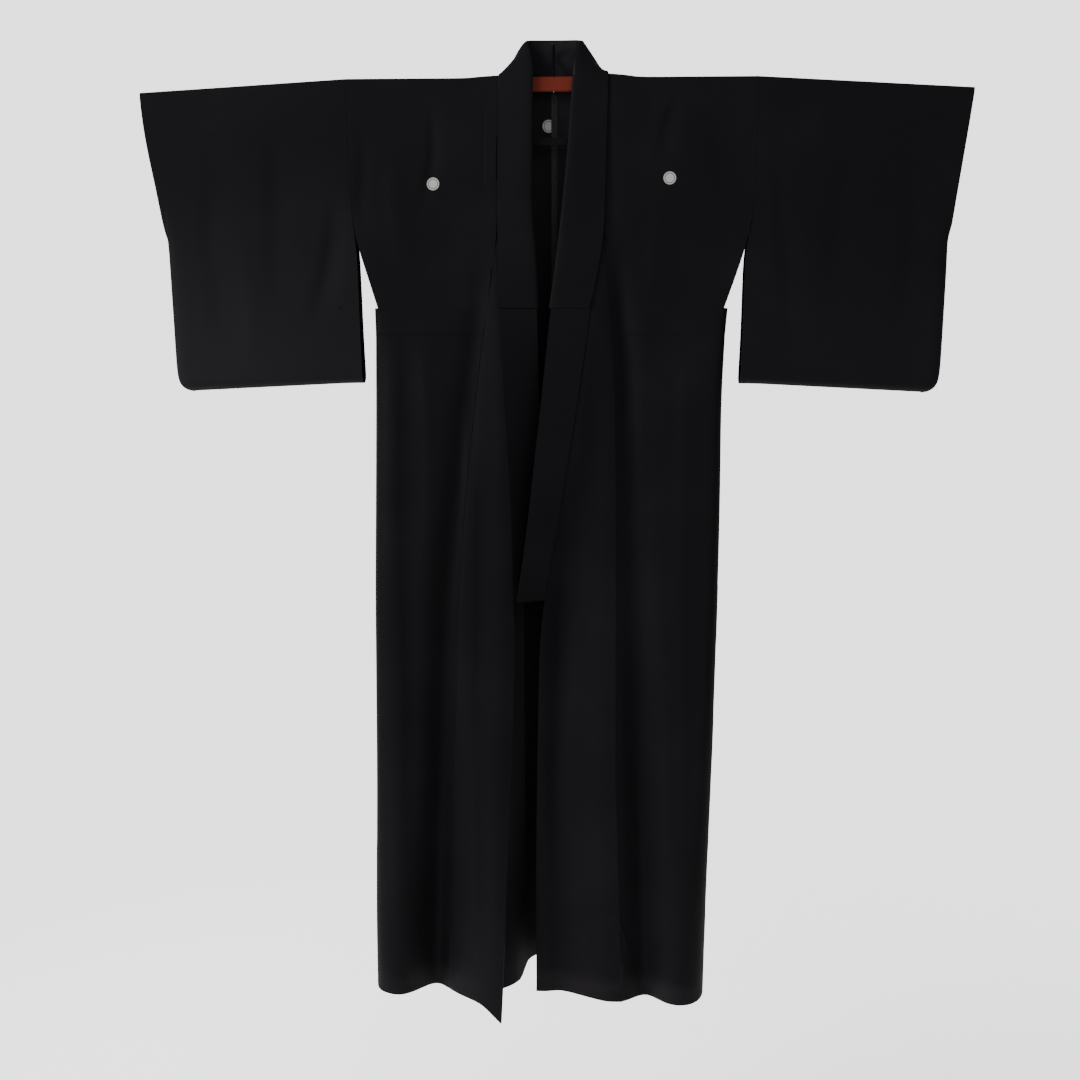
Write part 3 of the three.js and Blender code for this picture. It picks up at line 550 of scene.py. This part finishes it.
def crest_mask(start, crests):
    """Where the round undyed crests lie. Each crest is its x, its height and its side of the garment."""
    place = own_place(start)
    x = place.axis(X_AXIS)
    y = place.axis(Y_AXIS)
    z = place.axis(Z_AXIS)
    total = None
    for crest_x, crest_z, side in crests:
        distance = start.node("ShaderNodeCombineXYZ", X=x - crest_x, Y=0.0, Z=z - crest_z).length()
        disc = 1.0 - distance.smoothly(*CREST_EDGE)
        ring = distance.smoothly(*CREST_RING_INNER) * (1.0 - distance.smoothly(*CREST_RING_OUTER))
        beside = (y * side).smoothly(*CREST_SIDE)
        one = disc * (1.0 - ring * CREST_RING_SHARE) * beside
        total = one if total is None else total + one
    return total


def crease_relief(start, creases):
    """The depth of short sharp creases of the front, in metres."""
    place = own_place(start)
    total = None
    for (from_x, from_below), (to_x, to_below), width, depth in creases:
        first = Vector((from_x, 0, SHOULDER - from_below))
        line = Vector((to_x, 0, SHOULDER - to_below)) - first
        flat = place.vector_maths("MULTIPLY", (1.0, 0.0, 1.0))
        from_first = flat.vector_maths("SUBTRACT", tuple(first))
        reached = from_first.vector_maths("DOT_PRODUCT", tuple(line / line.length_squared), output=1)
        share = start.node("ShaderNodeClamp", Value=reached, Min=0.0, Max=1.0)
        nearest = start.node(
            "ShaderNodeVectorMath", {"operation": "SCALE"}, Vector=tuple(line), Scale=share)
        away = from_first.vector_maths("DISTANCE", nearest, output=1)
        ends = reached.smoothly(*CREASE_FADE_IN) * (1.0 - reached.smoothly(*CREASE_FADE_OUT))
        one = (1.0 - away.smoothly(0.0, width)) * ends * -depth
        total = one if total is None else total + one
    return total * (1.0 - place.axis(Y_AXIS).smoothly(*CREASE_BACK_LIMIT))


def silk_material(name, crests=(), creases=(), hem=0.0, painted_light=None, painted_light_tone=SILK_PAINTED_LIGHT):
    """Black silk: a fine even weave, a faint bloom where it has been handled, and undyed crests.

    A share of hem above 0 gives it a stitched hem whose edge is paler, partly from wear and partly from
    painted light through the thin silk.
    The function given for painted light makes the silk paler where it says.
    """
    material, shader, start = new_material(name)
    threads = start.node("ShaderNodeUVMap", {"uv_map": "threads"})
    across = threads.axis(X_AXIS)
    down = threads.axis(Y_AXIS)
    place = own_place(start)
    bloom = place.noise(scale=5.0, detail=4.0, roughness=0.55)
    slub = threads.noise(scale=160.0, detail=2.0, roughness=0.6)
    base = mixed(start, bloom.smoothly(*BLOOM_EDGE), SILK, SILK_WORN)
    warp = (across * (WEAVE_THREADS * math.pi)).maths("SINE")
    weft = (down * (WEAVE_THREADS * math.pi)).maths("SINE")
    relief = (warp * weft * WEAVE_SHARE + slub * SLUB_SHARE) * WEAVE_DEPTH
    if painted_light:
        # Painted light: paler toward the given tone where the given function says.
        base = mixed(start, painted_light(start, place), base, painted_light_tone)
    if hem:
        above = start.node("ShaderNodeAttribute", {"attribute_name": "above_hem"}, output=2)
        low = 1.0 - (place.axis(Z_AXIS) - SHOULDER).smoothly(*HEM_ZONE)
        patches = place.noise(scale=11.0, detail=3.0, roughness=0.6)
        ragged = above + (patches - 0.5) * HEM_WEAR_AND_LIGHT_RAGGED
        # The paler hem edge: wear and painted light through the thin silk together.
        wear_and_light = 1.0 - ragged.smoothly(*HEM_WEAR_AND_LIGHT_EDGE)
        base = mixed(start, wear_and_light * low * hem * patches.smoothly(*HEM_PATCH_EDGE), base, HEM_WEAR_AND_LIGHT)
        step = (across * (1 / STITCH_PITCH)).maths("FRACT")
        stitch_share = STITCH_LENGTH / STITCH_PITCH
        stitch = 1.0 - step.smoothly(stitch_share, STITCH_SOFT * stitch_share)
        on_line = 1.0 - (above - HEM_FOLD).maths("ABSOLUTE").smoothly(*STITCH_WIDTH)
        relief = relief - stitch * on_line * low * STITCH_DEPTH
    if creases:
        relief = relief + crease_relief(start, creases)
    if crests:
        base = mixed(start, crest_mask(start, crests), base, CREST_WHITE)
    base.feed(shader, "Base Color")
    bumps(start, relief).feed(shader, "Normal")
    (SILK_ROUGHNESS + slub * SLUB_ROUGHNESS).feed(shader, "Roughness")
    shader.inputs["Specular IOR Level"].default_value = SILK_SPECULAR
    return material


def finish_cloth(piece, node, material):
    """Gives a cloth piece its silk and puts it in the place of its node."""
    piece.data.materials.clear()
    piece.data.materials.append(material)
    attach(piece, "root")
    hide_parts(node)


# Where the front layer of a body panel ends: at the seam of its overlap panel, and at the middle of the
# garment, which swings back toward the hem.
RIGHT_SEAM_X = -0.086
RIGHT_SEAM_SPREAD = 0.085
LEFT_SEAM_X = 0.080
MIDDLE_SWING = 0.052

# Where the wrong side of the back shows, painted light makes it paler: in the neck, and behind the gap of
# the fronts.
GAP_PALE_FROM = (0.70, 0.80)
GAP_PALE_TO = (1.20, 1.52)
NECK_PALE_TO = (0.40, 0.60)
NECK_PALE_SEAM = (0.002, 0.008)
NECK_PALE_LEAST = 0.25
NECK_FACES_HALF = 0.07
NECK_FACES_FOOT = 0.60
GAP_FACES_X = (-0.11, -0.052)
GAP_FACES_TOP = 0.75
INNER_FACE_NORMAL = -0.5
BACK_LAYER_Y = -0.012

FRONT_SIDE = -1
BACK_SIDE = 1
BACK_CREST_HEIGHT = SHOULDER - 0.074
CHEST_AND_BACK_CRESTS = [
    (-0.1988, SHOULDER - 0.1714, FRONT_SIDE),
    (0.1924, SHOULDER - 0.1635, FRONT_SIDE),
    (0.0, BACK_CREST_HEIGHT, BACK_SIDE),
]
NECK_CREST = (-0.0085, BACK_CREST_HEIGHT, BACK_SIDE)
# How much of the hem's wear and painted light each silk takes.
HEM_WEAR_AND_LIGHT_SHARE = 0.6
FAINT_HEM = 0.1


def body_front(x, y, below):
    """Whether points of a body panel lie in its front layer."""
    share = below / HEM_FROM_SHOULDER
    beyond_overlap = np.where(x < 0, x < RIGHT_SEAM_X - RIGHT_SEAM_SPREAD * share, x > LEFT_SEAM_X)
    return beyond_overlap & (y < MIDDLE_SWING * share)


def painted_light_inside(start, place):
    """Painted light on the wrong side of the back: paler in the neck, most on one side of its seam, and
    behind the gap.
    """
    below = SHOULDER - place.axis(Z_AXIS)
    behind_gap = below.smoothly(*GAP_PALE_FROM) * (1.0 - below.smoothly(*GAP_PALE_TO))
    beside_seam = NECK_PALE_LEAST + place.axis(X_AXIS).smoothly(*NECK_PALE_SEAM) * (1 - NECK_PALE_LEAST)
    in_neck = (1.0 - below.smoothly(*NECK_PALE_TO)) * beside_seam
    return behind_gap + in_neck


def shows_inside(face):
    """Whether a face is part of the back's wrong side where the neck or the gap shows it."""
    x, y, z = face.center
    in_neck = abs(x) < NECK_FACES_HALF and z > SHOULDER - NECK_FACES_FOOT
    behind_gap = GAP_FACES_X[0] < x < GAP_FACES_X[1] and z < SHOULDER - GAP_FACES_TOP
    return face.normal.y < INNER_FACE_NORMAL and y > BACK_LAYER_Y and (in_neck or behind_gap)


body_silk = silk_material("body_silk", crests=CHEST_AND_BACK_CRESTS, creases=CREASES, hem=HEM_WEAR_AND_LIGHT_SHARE)
inside_lit_silk = silk_material(
    "inside_lit_silk", crests=[NECK_CREST], painted_light=painted_light_inside, painted_light_tone=SILK_INSIDE_LIT)
for node, folds in (("body_right", RIGHT_FOLDS), ("body_left", LEFT_FOLDS)):
    panel = cloth_from(node, pressed_rows=TUCK_ROWS, finer_front=body_front)
    press_folds(panel, folds, body_front)
    flatten_side_top(panel)
    lift_hem(panel, body_front)
    fold_hem(panel, body_front)
    lay_threads(panel)
    finish_cloth(panel, node, body_silk)
    # The wrong side where it shows gets the silk with painted light.
    panel.data.materials.append(inside_lit_silk)
    for face in panel.data.polygons:
        if shows_inside(face):
            face.material_index = 1

# Overlap panels
# Narrow panels that widen each front. They run to a point under the collar and hang free below its end.
def all_front(x, y, below):
    """An overlap panel has a front layer alone."""
    return np.full(len(x), True)


okumi_right_silk = silk_material("okumi_right_silk", creases=CREASES, hem=FAINT_HEM)
okumi_left_silk = silk_material("okumi_left_silk", creases=CREASES, hem=HEM_WEAR_AND_LIGHT_SHARE)
OVERLAPS = (
    ("okumi_right", RIGHT_FOLDS, okumi_right_silk),
    ("okumi_left", LEFT_FOLDS, okumi_left_silk),
)
for node, folds, okumi_silk in OVERLAPS:
    overlap = cloth_from(node, levels=3)
    press_folds(overlap, folds, all_front)
    lift_hem(overlap, all_front)
    fold_hem(overlap, all_front)
    lay_threads(overlap)
    finish_cloth(overlap, node, okumi_silk)

# Sleeves
# Each is one piece of silk folded over the arm of the hanger, sewn along the bottom and up the outer edge
# to the cuff, with the lower outer corner rounded. The inner edge hangs open below the armhole.
SLEEVE_CREST_X = 0.502
SLEEVE_CREST_HEIGHT = SHOULDER - 0.088
SLEEVE_CRESTS = [(x, SLEEVE_CREST_HEIGHT, BACK_SIDE) for x in (-SLEEVE_CREST_X, SLEEVE_CREST_X)]
SLEEVE_MIDDLE_Y = 0.0015
SLEEVE_BACK = (0.0, 0.006)
# Where painted light makes the fronts of the sleeves paler.
RIGHT_PAINTED_LIGHT_DOWN = (0.10, 0.52)
RIGHT_PAINTED_LIGHT_OUT = (0.30, 0.60)
RIGHT_PAINTED_LIGHT_INNER = 0.55
RIGHT_PAINTED_LIGHT_OUTER = 0.45
LEFT_PAINTED_LIGHT_DOWN = (0.22, 0.46)
LEFT_PAINTED_LIGHT = 0.24


def sleeve_front(x, y, below):
    """Whether points of a sleeve lie in its front layer."""
    return y < SLEEVE_MIDDLE_Y


def painted_light_right(start, place):
    """Painted light on the right sleeve: its front is paler toward the lower outer corner."""
    down = (SHOULDER - place.axis(Z_AXIS)).smoothly(*RIGHT_PAINTED_LIGHT_DOWN)
    outward = (-1.0 * place.axis(X_AXIS)).smoothly(*RIGHT_PAINTED_LIGHT_OUT)
    in_front = 1.0 - place.axis(Y_AXIS).smoothly(*SLEEVE_BACK)
    return down * (RIGHT_PAINTED_LIGHT_INNER + outward * RIGHT_PAINTED_LIGHT_OUTER) * in_front


def painted_light_left(start, place):
    """Painted light on the left sleeve: its front is a little paler along the bottom."""
    down = (SHOULDER - place.axis(Z_AXIS)).smoothly(*LEFT_PAINTED_LIGHT_DOWN)
    return down * LEFT_PAINTED_LIGHT * (1.0 - place.axis(Y_AXIS).smoothly(*SLEEVE_BACK))


right_sleeve_silk = silk_material(
    "right_sleeve_silk", crests=SLEEVE_CRESTS, creases=CREASES, painted_light=painted_light_right)
left_sleeve_silk = silk_material("left_sleeve_silk", crests=SLEEVE_CRESTS, painted_light=painted_light_left)
SLEEVES = (
    ("sleeve_right", RIGHT_FOLDS, right_sleeve_silk),
    ("sleeve_left", LEFT_FOLDS, left_sleeve_silk),
)
for node, folds, sleeve_silk in SLEEVES:
    sleeve = cloth_from(node, levels=3)
    press_folds(sleeve, folds, sleeve_front)
    lay_threads(sleeve)
    finish_cloth(sleeve, node, sleeve_silk)
    "hanger_arm_" + node.split("_")[1]

# Collar and over-collar
# A band of doubled silk follows the whole neck edge and stands at the nape. A second strip wraps its upper
# part, from the middle of one chest to the other, and is changed when it is worn.
# Painted light on the inner face of the stand at the nape.
STAND_PALE_X = (-0.032, -0.004)
STAND_PALE_LEAST = 0.10
STAND_PALE_MORE = 0.36
STAND_HALF_WIDTH = 0.036
STAND_FOOT = SHOULDER + 0.002
STAND_FACE_NORMAL = -0.3


def painted_light_stand(start, place):
    """Painted light: the inner face of the stand at the nape is paler toward the left sleeve."""
    return place.axis(X_AXIS).smoothly(*STAND_PALE_X) * STAND_PALE_MORE + STAND_PALE_LEAST


def line_stand(piece):
    """Gives the inner face of the stand at the nape its own silk, which carries painted light."""
    piece.data.materials.append(stand_lit_silk)
    for face in piece.data.polygons:
        in_stand = abs(face.center.x) < STAND_HALF_WIDTH and face.center.z > STAND_FOOT
        if in_stand and face.normal.y < STAND_FACE_NORMAL:
            face.material_index = 1


def band_cloth(node, material):
    """The cloth of a narrow band, which has no folds of its own."""
    band = cloth_from(node)
    lay_threads(band)
    finish_cloth(band, node, material)
    return band


collar_silk = silk_material("collar_silk")
stand_lit_silk = silk_material("stand_lit_silk", painted_light=painted_light_stand, painted_light_tone=SILK_INSIDE_LIT)
collar = band_cloth("collar", collar_silk)
line_stand(collar)
over_collar = band_cloth("over_collar", collar_silk)
line_stand(over_collar)

# Back seam tape
# A narrow tape bound over the centre back seam on the inside.
# Both tape tones hold painted light and sheen besides the tape's own grey.
TAPE_DARK = (0.012, 0.012, 0.014, 1)
TAPE_LIGHT = (0.042, 0.042, 0.046, 1)


def tape_material():
    """A coarse black silk tape, greyer than the cloth and flecked: partly its slubs and stitches, partly
    painted light and sheen where it lies in shade.
    """
    material, shader, start = new_material("tape_silk")
    threads = start.node("ShaderNodeUVMap", {"uv_map": "threads"})
    slub = threads.noise(scale=420.0, detail=3.0, roughness=0.7)
    # The pale flecks are slubs of the tape and a painted sheen.
    mixed(start, slub.smoothly(0.35, 0.75), TAPE_DARK, TAPE_LIGHT).feed(shader, "Base Color")
    bumps(start, slub, distance=0.0002, strength=0.8).feed(shader, "Normal")
    shader.inputs["Roughness"].default_value = 0.7
    shader.inputs["Specular IOR Level"].default_value = 0.1
    return material


tape = band_cloth("back_tape", tape_material())

# Hanger
# A straight kimono hanger of brick-red plastic: a deep middle bar, slim arms that reach into the sleeves,
# a thin dark bar below for a belt, and a black wire hook.
# Both reds are darker than the plastic, as painted shade: the bar lies in shade inside the neck.
RED_WITH_PAINTED_SHADE = (0.102, 0.0145, 0.0088, 1)
RED_WORN_WITH_PAINTED_SHADE = (0.084, 0.0125, 0.0075, 1)
DARK = (0.0024, 0.0024, 0.0027, 1)
DARK_GREYER = (0.0038, 0.0038, 0.0042, 1)
LACQUER = (0.0026, 0.0026, 0.0030, 1)
LACQUER_WORN = (0.0050, 0.0050, 0.0055, 1)
EDGE_ROUND = 0.0006


def red_plastic():
    """Brick-red satin plastic, darkened with painted shade, duller where it is scuffed."""
    material, shader, start = new_material("red_plastic")
    place = own_place(start)
    grain = place.noise(scale=60.0, detail=5.0, roughness=0.6)
    scuffs = place.noise(scale=14.0, detail=3.0)
    mixed(start, scuffs.smoothly(0.35, 0.75), RED_WITH_PAINTED_SHADE, RED_WORN_WITH_PAINTED_SHADE).feed(shader, "Base Color")
    (0.38 + grain * 0.16).feed(shader, "Roughness")
    bumps(start, grain, distance=0.0001, strength=0.3).feed(shader, "Normal")
    shader.inputs["Specular IOR Level"].default_value = 0.06
    return material


def dark_plastic():
    """Near-black plastic of the bar for a belt and its links."""
    material, shader, start = new_material("dark_plastic")
    grain = own_place(start).noise(scale=80.0, detail=5.0)
    mixed(start, grain, DARK, DARK_GREYER).feed(shader, "Base Color")
    (0.55 + grain * 0.16).feed(shader, "Roughness")
    shader.inputs["Specular IOR Level"].default_value = 0.05
    return material


def black_wire():
    """Lacquered wire, greyer where the lacquer has worn."""
    material, shader, start = new_material("black_wire")
    wear = own_place(start).noise(scale=90.0, detail=4.0)
    mixed(start, wear.smoothly(0.55, 0.8), LACQUER, LACQUER_WORN).feed(shader, "Base Color")
    (0.7 + wear * 0.2).feed(shader, "Roughness")
    shader.inputs["Specular IOR Level"].default_value = 0.04
    return material


plastic = red_plastic()
dark = dark_plastic()
wire = black_wire()
HANGER_FINISH = {
    "hanger_bar": plastic,
    "hanger_arm_right": plastic,
    "hanger_arm_left": plastic,
    "hook": wire,
    "lower_bar": dark,
    "lower_bar_link_right": dark,
    "lower_bar_link_left": dark,
}
for node, finish in HANGER_FINISH.items():
    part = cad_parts[node]
    for material_slot in part.material_slots:
        material_slot.material = finish
    rounded = part.modifiers.new("rounded", "BEVEL")
    rounded.width = EDGE_ROUND
    rounded.segments = 2
    rounded.limit_method = "ANGLE"
